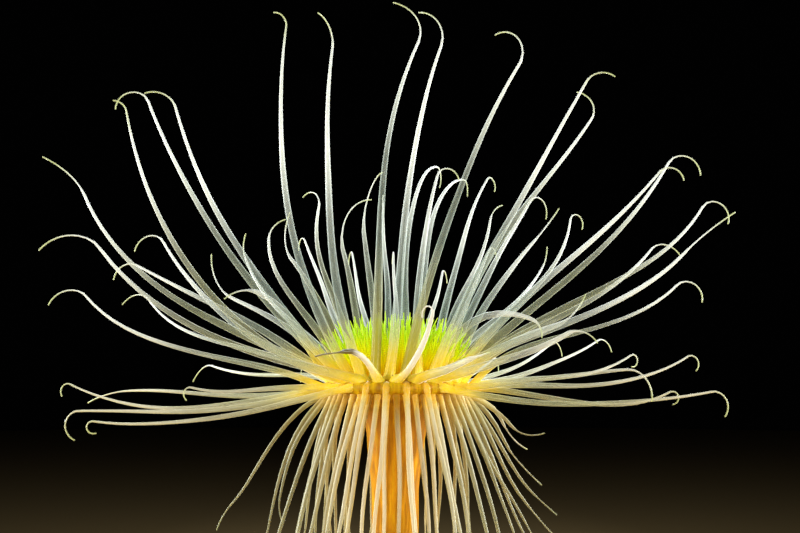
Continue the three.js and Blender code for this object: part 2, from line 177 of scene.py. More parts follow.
# Column, disc and mouth
BODY_SIDES = 144
BODY_STEP = 1.6
RIM_ANGLES = range(-100, 121, 10)
RIM_SWELL = 0.8  # how much the rim swells at each tentacle's root
MOUTH_STRETCH = 0.35  # the mouth is a slit along Y
COLUMN_PROFILE = [  # radius and height, from the foot to the underside of the disc
    (0, 12.0), (4.0, 12.05), (6.8, 13.2), (8.8, 17.0), (10.0, 24.0), (10.4, 33.0), (10.2, 44.0),
    (9.9, 60.0), (9.7, 80.0), (9.6, 108.0), (9.7, 134.0), (10.2, 156.0), (10.9, 165.0), (12.0, 174.0),
    (13.5, 184.0), (14.8, 190.5), (16.2, 194.5), (19.0, 197.3),
]
DISC_PROFILE = [  # from the rim over the disc, up the lips and down into the mouth
    (16.6, 204.2), (14.6, 202.9), (12.0, 202.4), (9.0, 202.3), (6.4, 202.7), (5.1, 203.7), (4.5, 205.2),
    (3.7, 206.2), (2.8, 205.6), (2.0, 203.6), (1.3, 201.0), (0, 199.8),
]
LIP_RADIUS = 6
LIP_FOLDS = dict(size=0.35, count=12)
DISC_FURROWS = dict(size=0.18, count=24)
COLUMN_FOLDS = dict(size=0.16, count=36)
COLUMN_RINGS = dict(size=0.14, per_mm=1.9, top=95, fade=60, least=0.15)  # they fade upwards
COLUMN_BULGES = dict(size=0.3, length=11)
COLUMN_DENTS = dict(size=0.22, length=5.3)
COLUMN_TOP = dict(height=190, blend=15)  # where the column's relief ends under the disc
COLUMN_LEAN = dict(x=0.6, x_length=34, y=0.5, y_length=47)  # how it strays from the vertical

# Labial tentacles
LABIAL_SIDES = 5
LABIAL_RINGS = 12
LABIAL_RADIUS = 0.6
LABIAL_TAPER = dict(root=1.15, loss=0.65, power=1.2, tip=0.4)  # shares of the radius
LABIAL_SINK = 1.5  # how far a foot reaches into the disc
LABIAL_LEAN = dict(upright=88, from_radius=4, per_mm=1.2, along_x=3.6, vary=5)
LABIAL_RISE = dict(start=-8, gain=14)  # how a labial's elevation differs from its lean
LABIAL_HEADING = 10  # how far its heading strays from its azimuth
LABIAL_HEAVE = dict(size=15, waves=1.4, shift=0.29)
LABIAL_SWAY = dict(size=30, waves=1.2, shift=0.43)
LABIAL_AZIMUTH = 3  # how far its foot strays round the disc
LABIAL_GROWTH = dict(usual=0.93, vary=0.09)
LABIAL_ROWS = [  # radius of the row on the disc, how many, length
    (6.2, 34, 31),
    (7.6, 42, 34),
    (9.0, 50, 35),
    (10.4, 56, 35),
    (11.8, 60, 34),
    (13.2, 58, 32),
]

# The skin's parts, as their materials' places in its list, and what of the bake map each takes
PART_BODY, PART_TENTACLE, PART_LABIAL = range(3)
BODY_PATCH = (0.02, 0.86, 0.96, 0.13)  # left, bottom, width, height
TENTACLE_PATCHES = dict(levels=2, bottom=0.01, step=0.36, height=0.34)
LABIAL_PATCHES = dict(bottom=0.74, height=0.1)

# Stand
BASE_SIDES = 160
BASE_EDGE_STEPS = 8

# ---- looks ----
ORANGE = (0.72, 0.27, 0.003)
DEEP_GOLD = (0.80, 0.45, 0.008)
GOLD = (0.88, 0.66, 0.014)
STRAW = (0.80, 0.69, 0.15)
TAN = (0.66, 0.49, 0.12)
FROST = (0.35, 0.44, 0.38)
OLIVE = (0.50, 0.50, 0.24)
# painted shade at a hanging tentacle's flanks
FLANK_SHADE = (0.64, 0.38, 0.02)
# painted shade on the hanging ones at the sides
SIDE_SHADE_MOSS = (0.32, 0.32, 0.14)
DUSK = (0.36, 0.31, 0.012)
WHITE = (0.86, 0.89, 0.83)
PETAL = (0.86, 0.80, 0.68)
IVORY = (0.74, 0.70, 0.50)
# painted highlight along a hanging tentacle's outer side
HIGHLIGHT_CREAM = (0.98, 0.90, 0.64)
SAND = (0.64, 0.64, 0.38)
BROWN = (0.12, 0.08, 0.012)
TIP_GREEN = (0.48, 0.54, 0.16)
STREAK_PALE = (0.78, 0.42, 0.004)
STREAK_DARK = (0.32, 0.12, 0.001)
BLOTCH = (0.36, 0.12, 0.004)
FOLD_PAINTED_LIGHT = (0.86, 0.60, 0.004)
FOLD_PAINTED_SHADE = (0.50, 0.24, 0.001)

# Ramps: a place from 0 to 1 and the colour or the level there
LABIAL_COLOURS = [
    (0.0, ORANGE), (0.2, (0.82, 0.46, 0.002)), (0.45, (0.82, 0.68, 0.001)), (0.7, (0.66, 0.75, 0.001)),
    (0.88, (0.36, 0.62, 0.002)), (1.0, (0.48, 0.70, 0.01)),
]
BODY_HEIGHTS = (12, 206)
# the body's colours up its height; the darker stop at 0.92, just under the disc, is painted shade from the
# crown
BODY_COLOURS_AND_SHADE = [
    (0.0, (0.24, 0.15, 0.08)), (0.45, (0.34, 0.18, 0.07)), (0.6, (0.38, 0.16, 0.03)),
    (0.67, (0.58, 0.25, 0.003)), (0.73, (0.68, 0.29, 0.003)), (0.82, (0.66, 0.27, 0.002)),
    (0.92, (0.44, 0.17, 0.001)), (0.955, (0.56, 0.28, 0.001)), (0.975, (0.62, 0.35, 0.002)),
    (1.0, (0.70, 0.44, 0.004)),
]
# painted glow and shade: the column emits its colour most partway up and least just under the disc, where
# the crown's shade is painted in
PAINTED_GLOW_HEIGHTS = (110, 206)
BODY_PAINTED_GLOW = [(0.0, 0), (0.35, 0.14), (0.48, 0.20), (0.6, 0.13), (0.85, 0.015), (0.92, 0.05)]
BASE_COLOURS = [(0.35, (0.022, 0.023, 0.026)), (0.7, (0.034, 0.035, 0.038))]
CLEARING = 60  # millimetres from the rim within which a tentacle's flesh turns clear
CLEAR_LEVELS = [(0.0, 1), (0.05, 0.72), (0.12, 0.38), (0.3, 0.16), (0.6, 0.11), (1.0, 0.11)]

# Where a tentacle's looks change: a look is absent at the first value and full at the second.
# In millimetres from the rim
STRAW_FROM = (5, 22)
FLESH_FROM = (9, 29)
PETAL_FROM = (3, 13)
HIGHLIGHT_FROM = (4, 16)
LINES_FROM = (10, 40)
SOLID_FROM = (30, 100)
FLANK_SHADE_TO = (70, 10)
DUSK_TO = (60, 24)
# over this stretch the tentacles' painted glow dims
PAINTED_GLOW_DIM_FROM = (0, 30)
# As shares of its length
MILKY_FROM = (0.37, 0.68)
BROWN_FROM = (0.34, 0.46)
GREEN_FROM = (0.88, 0.97)
# In metres of height, and of distance along X from the middle of the crown
RAISED_FROM = (0.198, 0.235)
SIDE_SHADE_FROM = (0.014, 0.036)
# And in millimetres of height, where the rim's looks start on the body
RIM_FROM = (197, 199.5)

# Tones of the tentacles that have looks of their own; the others' tones lie between 0 and 1
DUSKY_TONE = -1.0
DULL_TONE = 2.0
PALE_TONE = 3.0

# ---- floor, lights and camera, in metres, watts and degrees ----
FLOOR_RADIUS = 4.2
FLOOR_COLOUR = (0.52, 0.355, 0.135)
WORLD_COLOUR = (0.0004, 0.0004, 0.0004)
CROWN = (0, 0, 0.21)  # what the lights aim at
SIDE_LIGHTS = [  # each stands on the right and on the left
    dict(name="key", place=(0.42, -0.34, 0.31), size=0.22, power=2.2, colour=(1.0, 0.99, 0.95)),
    dict(name="edge", place=(0.52, 0.14, 0.30), size=0.22, power=3.8, colour=(0.90, 0.96, 1.0)),
]
TOP_LIGHT = dict(place=(0.0, 0.35, 0.55), size=0.3, power=1.6, colour=(0.85, 0.93, 1.0))
CAMERA = dict(lens=45, sensor=36, place=(0.0015, -0.450, 0.205), tilt=96.6)
CLEAR_LAYERS = 40  # how many clear surfaces a ray may pass


# ---- every tentacle's pose ----
def wander(i, size):
    """A value that differs from one tentacle to the next."""
    return size * math.sin(2.4 * i)


def upper_rule(azimuth, i):
    rise = 46 + wander(i, 4)
    return Tentacle(azimuth, heading=azimuth + wander(i, 2), start=rise - 6, middle=rise, end=rise + 6,
                    length=95 + wander(2 * i, 12), curl=-145, whip=13)


def middle_rule(azimuth, i):
    """Those at the back stand out, and those in front hang."""
    length = wander(2 * i, 6)
    if azimuth > 180:
        fall = -64 + wander(i, 3)
        return Tentacle(azimuth, heading=azimuth + wander(3 * i, 4), start=fall, middle=fall, end=fall - 16,
                        length=103 + length, curl=-12, whip=13)
    rise = 9 + wander(i, 4)
    return Tentacle(azimuth, heading=azimuth + wander(i, 1.5), start=rise - 9, middle=rise, end=rise + 9,
                    length=113 + length, curl=-110, whip=14)


def lower_rule(azimuth, i):
    """All hang, and those at the back are shorter."""
    if azimuth < 180:
        fall = -84 + wander(i, 8)
        return Tentacle(azimuth, heading=azimuth + wander(3 * i, 12), start=fall + 12, middle=fall,
                        end=fall - 6, length=68 + wander(2 * i, 9), curl=wander(i, 30), whip=16)
    fall = -74 + wander(i, 3)
    return Tentacle(azimuth, heading=azimuth + wander(3 * i, 5), start=fall + 10, middle=fall,
                    end=fall - 10, length=99 + wander(2 * i, 8), curl=-6, whip=13)


def cycle_rows(name, rule=None):
    """A cycle's tentacles in order of azimuth: those with a pose of their own, and the rest by rule."""
    cycle = CYCLES[name]
    posed = {row[0]: Tentacle(*row) for row in POSED[name]}
    rows = []
    for i in range(cycle["count"]):
        azimuth = cycle["first"] + 360 * i / cycle["count"]
        rows.append(posed.get(azimuth) or rule(azimuth, i))
    return rows


ROWS = {
    "inner": cycle_rows("inner"),
    "upper": cycle_rows("upper", upper_rule),
    "middle": cycle_rows("middle", middle_rule),
    "lower": cycle_rows("lower", lower_rule),
}
DULL_ROW = next(row for row in ROWS["upper"] if row.azimuth == 255)  # pale, with a dull brown tip
PALE_ROW = next(row for row in ROWS["upper"] if row.azimuth == 270)  # pale all the way
DUSKY_ROWS = [row for row in ROWS["inner"] if row.azimuth in (247.5, 277.5)]  # olive in their lower halves


# ---- geometry ----
def direction(heading, elevation):
    """A unit vector, or one for each of several elevations and headings in degrees."""
    h = np.radians(heading)
    e = np.radians(elevation)
    return np.stack(np.broadcast_arrays(np.cos(h) * np.cos(e), np.sin(h) * np.cos(e), np.sin(e)), axis=-1)


def unit(vectors):
    return vectors / np.linalg.norm(vectors, axis=-1, keepdims=True)


def around(sides):
    """The angles of a ring's points."""
    return 2 * np.pi * np.arange(sides) / sides


def arc_lengths(points):
    """Each point's distance from the first, along the line through them."""
    return np.concatenate([[0], np.cumsum(np.linalg.norm(np.diff(points, axis=0), axis=1))])


def follow(start, headings, elevations, step):
    """The points of a course that turns as it goes."""
    steps = direction(headings, elevations) * step
    return start + np.concatenate([[np.zeros(3)], np.cumsum((steps[1:] + steps[:-1]) / 2, axis=0)])


def tube_rings(path, radii, side, sides):
    """Rings round a path that keep one corner towards the given side, so that they don't twist."""
    tangent = unit(np.gradient(path, axis=0))
    across = unit(side - (tangent @ side)[:, None] * tangent)
    up = np.cross(across, tangent)
    angles = around(sides)
    spokes = np.cos(angles)[None, :, None] * across[:, None] - np.sin(angles)[None, :, None] * up[:, None]
    return path[:, None] + radii[:, None, None] * spokes


def smooth_profile(keys, step):
    """A Catmull-Rom curve through the keys, in even steps."""
    keys = np.array(keys, float)
    padded = np.concatenate([[2 * keys[0] - keys[1]], keys, [2 * keys[-1] - keys[-2]]])
    curve = []
    for a, b, c, d in zip(padded, padded[1:], padded[2:], padded[3:]):
        t = np.linspace(0, 1, 24, endpoint=False)[:, None]
        curve.append(0.5 * (2 * b + (c - a) * t + (2 * a - 5 * b + 4 * c - d) * t ** 2
                            + (3 * b - a - 3 * c + d) * t ** 3))
    curve = np.concatenate(curve + [keys[-1:]])
    length = arc_lengths(curve)
    even = np.linspace(0, length[-1], round(length[-1] / step))
    return np.stack([np.interp(even, length, curve[:, k]) for k in range(2)], axis=1)


def add_object(name, data):
    obj = bpy.data.objects.new(name, data)
    bpy.context.scene.collection.objects.link(obj)
    return obj


class Skin:
    """Points, faces, and what each point and corner is for the materials and the bake map.

    `along` is the distance from the rim or the foot, `reach` the share of the length, or the height on
    the body, `tone` picks the colours, `fall` says how far a tentacle hangs and `outer` is 1 along its
    outer side."""

    def __init__(self):
        self.points = []
        self.faces = []
        self.parts = []
        self.uvs = []
        self.count = 0
        self.fields = {"along": [], "reach": [], "tone": [], "fall": [], "outer": []}

    def grid(self, rings, along, reach, tone, part, patch, fall=0.0):
        """Joins rings of points, an array of shape (rings, sides, 3), and closes both ends.

        `patch` is the piece of the bake map they take: left, bottom, width, height."""
        n, sides = rings.shape[:2]
        start = self.count
        centres = rings.mean(axis=1)
        self.points += [rings.reshape(-1, 3), centres[[0, -1]]]
        self.count += n * sides + 2
        self.fields["along"].append(np.append(np.repeat(along, sides), (along[0], along[-1])))
        self.fields["reach"].append(np.append(np.repeat(reach, sides), (reach[0], reach[-1])))
        self.fields["tone"].append(np.full(n * sides + 2, tone))
        self.fields["fall"].append(np.full(n * sides + 2, fall))
        self.fields["outer"].append(np.append(np.tile(np.sin(around(sides)), n), (0, 0)))

        left, bottom, width, height = patch
        u = [left + width * j / sides for j in range(sides + 1)]
        spread = np.linalg.norm(rings - centres[:, None], axis=2).mean(axis=1)
        steps = np.linalg.norm(np.diff(centres, axis=0), axis=1) + np.abs(np.diff(spread))
        v = np.concatenate([[0], np.cumsum(steps)])
        v = bottom + height * v / v[-1]
        for i in range(n - 1):
            a = start + i * sides
            for j in range(sides):
                k = (j + 1) % sides
                self.faces.append((a + j, a + k, a + sides + k, a + sides + j))
                self.uvs += [(u[j], v[i]), (u[j + 1], v[i]), (u[j + 1], v[i + 1]), (u[j], v[i + 1])]
        middle = start + n * sides
        self.fan(start, middle, u, v[0], True)
        self.fan(start + (n - 1) * sides, middle + 1, u, v[-1], False)
        self.parts += [part] * ((n + 1) * sides)

    def fan(self, first, middle, u, v, flipped):
        """Closes a ring with triangles round a point at its middle."""
        sides = len(u) - 1
        for j in range(sides):
            corners = [(first + j, u[j]), (first + (j + 1) % sides, u[j + 1])]
            if flipped:
                corners.reverse()
            (a, u_a), (b, u_b) = corners
            self.faces.append((a, b, middle))
            self.uvs += [(u_a, v), (u_b, v), ((u_a + u_b) / 2, v)]

    def object(self, name, materials):
        mesh = bpy.data.meshes.new(name)
        mesh.from_pydata((np.concatenate(self.points) * MM).tolist(), [], self.faces)
        for label, values in self.fields.items():
            mesh.attributes.new(label, "FLOAT", "POINT").data.foreach_set("value", np.concatenate(values))
        uv = mesh.uv_layers.new(name="OFBake")
        uv.data.foreach_set("uv", np.array(self.uvs).ravel())
        for material in materials:
            mesh.materials.append(material)
        mesh.polygons.foreach_set("material_index", self.parts)
        mesh.shade_smooth()
        mesh.update()
        return add_object(name, mesh)


# ---- marginal tentacles ----
def rim_point(angle, azimuth):
    a = math.radians(angle)
    b = math.radians(azimuth)
    r = RIM["radius"] + RIM["width"] * math.cos(a)
    return np.array([r * math.cos(b), r * math.sin(b), RIM["z"] + RIM["height"] * math.sin(a)])


def rim_normal(angle, azimuth):
    a = math.radians(angle)
    slope = math.atan2(math.sin(a) / RIM["height"], math.cos(a) / RIM["width"])
    return direction(azimuth, math.degrees(slope))


def tentacle_course(cycle, row, number):
    """Points close together along a tentacle, from the rim's surface, and their distances from it."""
    total = row.length + row.whip
    s = np.linspace(0, total, COURSE_POINTS)
    t = np.minimum(s / row.length, 1)
    curled = np.clip((s - row.length) / row.whip, 0, 1)
    # a parabola through the three elevations, and then the whip's turn
    slope = 4 * row.middle - 3 * row.start - row.end
    bend = 2 * (row.start - 2 * row.middle + row.end)
    elevation = row.start + slope * t + bend * t ** 2
    elevation += row.curl * curled ** WHIP_BEND
    heading = row.heading + SWERVE["size"] * math.sin(SWERVE["shift"] * number) * curled ** 2
    path = follow(rim_point(cycle["rim_angle"], row.azimuth), heading, elevation, s[1] - s[0])
    # it strays a little from that course, but not at its ends
    along = s / total
    stray = SWAY["size"] * np.sin(np.pi * along) ** 2
    sideways = np.sin(2 * np.pi * (SWAY["waves"] * along + SWAY["shift"] * number))
    upward = np.sin(2 * np.pi * (HEAVE["waves"] * along + HEAVE["shift"] * number))
    path += (stray * sideways)[:, None] * direction(row.heading + 90, 0.0)
    path[:, 2] += HEAVE["share"] * stray * upward
    return path, s


def tentacle_stations(total):
    """Distances from the rim at which a tentacle has rings, closer near the root and the tip."""
    near = np.array(ROOT_STATIONS)
    tip = total - np.array(TIP_STATIONS)
    count = max(3, round((tip[0] - near[-1]) / STATION_STEP))
    between = np.linspace(near[-1], tip[0], count)[1:-1]
    return np.concatenate([near, between, tip[tip > near[-1]], [total - CAP, total]])


def hanging(row):
    """From 0 for a tentacle that stands or lies level to 1 for one that hangs."""
    return min(max(-row.middle / HANGS_AT, 0), 1)


def tentacle_radii(cycle, row, number, stations):
    total = stations[-1]
    fall = hanging(row)
    blunt = total < BLUNT["shorter_than"] and fall == 0
    taper = BLUNT["taper"] if blunt else TAPER
    left = np.clip(1 - stations / total, 0, 1)
    radii = TIP_RADIUS + (cycle["root"] * (1 - HANG_THIN * fall) - TIP_RADIUS) * left ** taper
    above = np.maximum(stations, 0)
    radii *= 1 - ROOT_NECK * np.exp(-above / NECK_LENGTH) + ROOT_FLARE * np.exp(-above / FLARE_LENGTH)
    ripple = np.sin(stations / RIPPLE["length"] + number) * (stations > RIPPLE["starts"])
    radii *= 1 + RIPPLE["size"] * ripple
    # the whip thins over its first third
    thinner = min(WHIP_THIN["most"], WHIP_THIN["least"] + row.whip * WHIP_THIN["per_mm"])
    on_whip = np.clip((stations - total + row.whip) / row.whip * 3, 0, 1)
    radii = np.maximum(radii * (1 - thinner * on_whip ** 2 * (3 - 2 * on_whip)), TIP_RADIUS)
    if row in (DULL_ROW, PALE_ROW):
        slimmer = SLIM["size"] * np.clip(stations / SLIM["within"], 0, 1)
        radii = np.maximum(radii * (1 - slimmer), TIP_RADIUS)
    radii[-2:] *= CAP_RADII
    return radii


def tentacle_tone(row, number):
    if row in DUSKY_ROWS:
        return DUSKY_TONE
    if row == DULL_ROW:
        return DULL_TONE
    if row == PALE_ROW:
        return PALE_TONE
    return 0.5 + 0.5 * math.sin(12.9898 * number + 0.7)


def make_tentacle(skin, cycle, row, number, patch):
    path, s = tentacle_course(cycle, row, number)
    total = s[-1]
    stations = tentacle_stations(total)
    points = np.stack([np.interp(stations, s, path[:, k]) for k in range(3)], axis=1)
    # its buried end lies between the rim's normal and the tentacle's own course
    inside = stations < 0
    inward = unit(rim_normal(cycle["rim_angle"], row.azimuth) + unit(path[4] - path[0]))
    points[inside] = path[0] + stations[inside, None] * inward
    radii = tentacle_radii(cycle, row, number, stations)
    rings = tube_rings(points, radii, direction(row.heading + 90, 0.0), TUBE_SIDES)
    reach = np.clip(stations / total, 0, 1)
    tone = tentacle_tone(row, number)
    skin.grid(rings, stations, reach, tone, PART_TENTACLE, patch, hanging(row))


def make_tentacles(skin):
    number = 0
    total = sum(len(rows) for rows in ROWS.values())
    per_level = math.ceil(total / TENTACLE_PATCHES["levels"])
    width = 1 / per_level
    for name, rows in ROWS.items():
        for row in rows:
            level, column = divmod(number, per_level)
            bottom = TENTACLE_PATCHES["bottom"] + TENTACLE_PATCHES["step"] * level
            patch = (column * width + 0.1 * width, bottom, 0.8 * width, TENTACLE_PATCHES["height"])
            make_tentacle(skin, CYCLES[name], row, number, patch)
            number += 1


# ---- labial tentacles ----
def labial_lean(azimuth, radius, number):
    """A labial's general elevation: outer ones lean out, most of all along X."""
    sideways = math.cos(math.radians(azimuth)) ** 2
    per_mm = LABIAL_LEAN["per_mm"] + LABIAL_LEAN["along_x"] * sideways
    outward = (radius - LABIAL_LEAN["from_radius"]) * per_mm
    return LABIAL_LEAN["upright"] - outward + LABIAL_LEAN["vary"] * math.sin(2.1 * number)


def waver(along, number, size, waves, shift):
    """A swing that grows along a tentacle and differs from one to the next."""
    return size * np.sin(2 * np.pi * (waves * along + shift * number)) * along


def make_labial(skin, azimuth, radius, length, number, patch):
    s = np.linspace(0, length, LABIAL_RINGS)
    along = s / length
    lean = labial_lean(azimuth, radius, number)
    heading = azimuth + LABIAL_HEADING * math.sin(3.7 * number)
    rise = LABIAL_RISE["start"] + LABIAL_RISE["gain"] * along
    elevations = lean + rise + waver(along, number, **LABIAL_HEAVE)
    headings = heading + waver(along, number, **LABIAL_SWAY)
    foot = direction(azimuth, 0.0) * radius
    foot[2] = DISC_FLOOR - LABIAL_SINK
    path = follow(foot, headings, elevations, s[1] - s[0])
    thinned = LABIAL_TAPER["root"] - LABIAL_TAPER["loss"] * along ** LABIAL_TAPER["power"]
    radii = LABIAL_RADIUS * thinned
    radii[-1] *= LABIAL_TAPER["tip"]
    rings = tube_rings(path, radii, direction(heading + 90, 0.0), LABIAL_SIDES)
    tone = 0.5 + 0.5 * math.sin(7.31 * number)
    skin.grid(rings, s, along, tone, PART_LABIAL, patch)


def make_labials(skin):
    number = 0
    width = 1 / sum(count for _, count, _ in LABIAL_ROWS)
    for radius, count, length in LABIAL_ROWS:
        for i in range(count):
            azimuth = 360 * (i + 0.5 * (number % 2)) / count + LABIAL_AZIMUTH * math.sin(5.3 * number)
            left = number * width + 0.15 * width
            patch = (left, LABIAL_PATCHES["bottom"], 0.7 * width, LABIAL_PATCHES["height"])
            grown = length * (LABIAL_GROWTH["usual"] + LABIAL_GROWTH["vary"] * math.sin(4.4 * number))
            make_labial(skin, azimuth, radius, grown, number, patch)
            number += 1


# ---- column, disc and mouth ----
def body_profile():
    rim = [rim_point(angle, 0)[[0, 2]] for angle in RIM_ANGLES]
    return smooth_profile(COLUMN_PROFILE + rim + DISC_PROFILE, BODY_STEP)


def column_relief(angles, z):
    """Lengthwise folds and rings on the column, which bulges and narrows a little."""
    folds = COLUMN_FOLDS["size"] * np.cos(COLUMN_FOLDS["count"] * angles + 0.8 * np.sin(z / 9))
    folds = folds * (0.6 + 0.4 * np.sin(3 * angles + z / 13))
    rings = COLUMN_RINGS["size"] * np.sin(z * COLUMN_RINGS["per_mm"] + 1.2 * np.sin(2 * angles))
    rings = rings * np.clip((COLUMN_RINGS["top"] - z) / COLUMN_RINGS["fade"], COLUMN_RINGS["least"], 1)
    bulges = COLUMN_BULGES["size"] * np.sin(z / COLUMN_BULGES["length"] + 1.3 * np.sin(angles))
    dents = COLUMN_DENTS["size"] * np.sin(z / COLUMN_DENTS["length"] + 2 * angles)
    return (folds + rings + bulges + dents) * np.clip((z - BASE["height"]) / 8, 0, 1)


def rim_relief(angles, r, z):
    """Swellings of the rim where the tentacles of its upper, middle and lower cycles grow."""
    section = np.degrees(np.arctan2((z - RIM["z"]) / RIM["height"], (r - RIM["radius"]) / RIM["width"]))
    upper = CYCLES["upper"]
    phase = np.cos(np.radians(180 * (section - upper["rim_angle"]) / upper["rim_angle"]))
    above = np.cos(upper["count"] * angles) * phase * (np.abs(section - 42) < 70)
    below = np.cos(CYCLES["lower"]["count"] * angles) * np.clip(1 - np.abs(section + 52) / 24, 0, 1)
    return RIM_SWELL * (above + below)


def make_body(skin):
    profile = body_profile()[1:-1]
    angles = around(BODY_SIDES)
    r, z = profile[:, 0:1], profile[:, 1:2]
    on_column = np.clip((COLUMN_TOP["height"] - z) / COLUMN_TOP["blend"], 0, 1)
    on_rim = (z > 196) & (r > 18)
    on_disc = (np.arange(len(profile))[:, None] > len(profile) * 0.75) & (r < 20)
    spread = np.where(on_rim, rim_relief(angles, r, z), on_column * column_relief(angles, z))
    # the folds of the lips, and furrows from the mouth to the rim
    lips = LIP_FOLDS["size"] * np.cos(LIP_FOLDS["count"] * angles) * np.clip(r / 4, 0, 1)
    spread = np.where(on_disc & (r < LIP_RADIUS), lips, spread)
    furrows = DISC_FURROWS["size"] * np.cos(DISC_FURROWS["count"] * angles)
    furrows = np.where(on_disc & (r > LIP_RADIUS - 1), furrows, 0)
    # the mouth is a slit, and the column strays a little from the vertical
    slit = np.where(on_disc, MOUTH_STRETCH * np.clip((LIP_RADIUS + 1 - r) / 3, 0, 1), 0)
    x = (r + spread) * np.cos(angles) * (1 - 0.5 * slit)
    y = (r + spread) * np.sin(angles) * (1 + slit)
    lean_x = COLUMN_LEAN["x"] * np.sin(z / COLUMN_LEAN["x_length"]) * on_column
    lean_y = COLUMN_LEAN["y"] * np.sin(z / COLUMN_LEAN["y_length"] + 1) * on_column
    rings = np.stack([x + lean_x, y + lean_y, z + furrows], axis=2)
    skin.grid(rings, arc_lengths(profile), z[:, 0], 0.5, PART_BODY, BODY_PATCH)


# ---- materials ----
def new_material(name):
    material = bpy.data.materials.new(name)
    material.use_nodes = True
    nodes = material.node_tree.nodes
    nodes.clear()
    out = nodes.new("ShaderNodeOutputMaterial")
    shader = nodes.new("ShaderNodeBsdfPrincipled")
    material.node_tree.links.new(shader.outputs[0], out.inputs["Surface"])
    return material, shader


class Nodes:
    """Short calls for the nodes that the materials are made of."""

    def __init__(self, material):
        self.tree = material.node_tree

    def add(self, kind, inputs=None, **settings):
        node = self.tree.nodes.new("ShaderNode" + kind)
        for key, value in settings.items():
            setattr(node, key, value)
        for key, value in (inputs or {}).items():
            self.put(value, node.inputs[key])
        return node

    def put(self, value, socket):
        if isinstance(value, bpy.types.NodeSocket):
            self.tree.links.new(value, socket)
        else:
            socket.default_value = value

    def attribute(self, name):
        return self.add("Attribute", attribute_name=name).outputs["Fac"]

    def noise(self, scale, detail=3.0, stretch=(1, 1, 1)):
        place = self.add("TexCoord").outputs["Object"]
        scaled = self.add("Mapping", {"Vector": place, "Scale": stretch}).outputs[0]
        return self.add("TexNoise", {"Vector": scaled, "Scale": scale, "Detail": detail}).outputs["Fac"]

    def metres(self, axis):
        """The place along an axis of the shared frame."""
        place = self.add("TexCoord").outputs["Object"]
        return self.add("SeparateXYZ", {"Vector": place}).outputs[axis]

    def strip_noise(self, stretch):
        """Noise on the bake map, where each tentacle is an upright strip."""
        place = self.add("UVMap", uv_map="OFBake").outputs[0]
        scaled = self.add("Mapping", {"Vector": place, "Scale": stretch}).outputs[0]
        return self.add("TexNoise", {"Vector": scaled, "Scale": 1.0, "Detail": 2.0}).outputs["Fac"]

    def math(self, operation, *values, clamp=False):
        node = self.add("Math", operation=operation, use_clamp=clamp)
        for value, socket in zip(values, node.inputs):
            self.put(value, socket)
        return node.outputs[0]

    def plus(self, a, b, clamp=False):
        return self.math("ADD", a, b, clamp=clamp)

    def times(self, a, b):
        return self.math("MULTIPLY", a, b)

    def between(self, value, low, high, to_low=0.0, to_high=1.0):
        """The value carried from one range to another, and held at its ends."""
        return self.add("MapRange", {"Value": value, "From Min": low, "From Max": high,
                                     "To Min": to_low, "To Max": to_high}).outputs[0]

    def ramp(self, value, stops):
        """Colours or, where the stops hold single numbers, levels."""
        node = self.add("ValToRGB", {"Fac": value})
        elements = node.color_ramp.elements
        while len(elements) < len(stops):
            elements.new(1)
        for element, (place, colour) in zip(elements, stops):
            element.position = place
            element.color = (*colour, 1) if isinstance(colour, tuple) else (colour, colour, colour, 1)
        return node.outputs[0]

    def mix(self, fac, a, b):
        """The colour a, and b over it."""
        node = self.add("Mix", data_type="RGBA")
        self.put(fac, node.inputs[0])
        for colour, socket in ((a, node.inputs[6]), (b, node.inputs[7])):
            self.put((*colour, 1) if isinstance(colour, tuple) else colour, socket)
        return node.outputs[2]


def tentacle_fields(n):
    """What a tentacle's colour, clearness and glow share."""
    f = SimpleNamespace()
    f.along, f.reach, f.tone, f.fall, f.outer = (
        n.attribute(name) for name in ("along", "reach", "tone", "fall", "outer"))
    f.raised = n.between(n.metres("Z"), *RAISED_FROM)
    f.dusky = n.times(n.between(f.tone, -0.1, DUSKY_TONE), n.between(f.along, *DUSK_TO))
    f.short = n.between(f.tone, 1.2, 1.8)
    f.dull = n.times(f.short, n.times(n.between(f.tone, 2.8, 2.2), n.between(f.reach, *BROWN_FROM)))
    f.line = n.between(n.strip_noise((1100, 30, 1)), 0.5, 0.68)
    # milky where it thins, and all the more solid the farther that is from the rim
    f.milky = n.between(n.plus(f.reach, n.between(f.tone, 0, 1, -0.10, 0.10)), *MILKY_FROM)
    f.solid = n.times(f.milky, n.between(f.along, *SOLID_FROM, 0.4, 1.0))
    return f


def tentacle_flesh(n, f):
    """Golden at the root, then frosty, olive or tan, white where it thins and green at the tip."""
    shifted = n.plus(f.along, n.between(n.noise(160), 0.3, 0.7, -4, 4))
    shifted = n.times(shifted, n.between(f.fall, 0, 1, 1.0, 1.6))
    near_root = n.mix(n.between(shifted, *STRAW_FROM), n.mix(f.fall, GOLD, DEEP_GOLD), STRAW)
    flesh = n.mix(f.fall, n.mix(f.raised, SAND, FROST), TAN)
    olive = n.times(n.between(f.tone, 0.45, 0.0, 0.0, 0.7), n.between(f.tone, DUSKY_TONE, -0.1, 0.2, 1.0))
    flesh = n.mix(olive, flesh, OLIVE)
    from_root = n.mix(n.between(shifted, *FLESH_FROM), near_root, flesh)
    pale_end = n.mix(f.raised, IVORY, WHITE)
    outward = n.mix(n.times(f.milky, n.between(f.fall, 0, 1, 1.0, 0.25)), from_root, pale_end)
    return n.mix(n.between(f.reach, *GREEN_FROM, 0, 0.85), outward, TIP_GREEN)


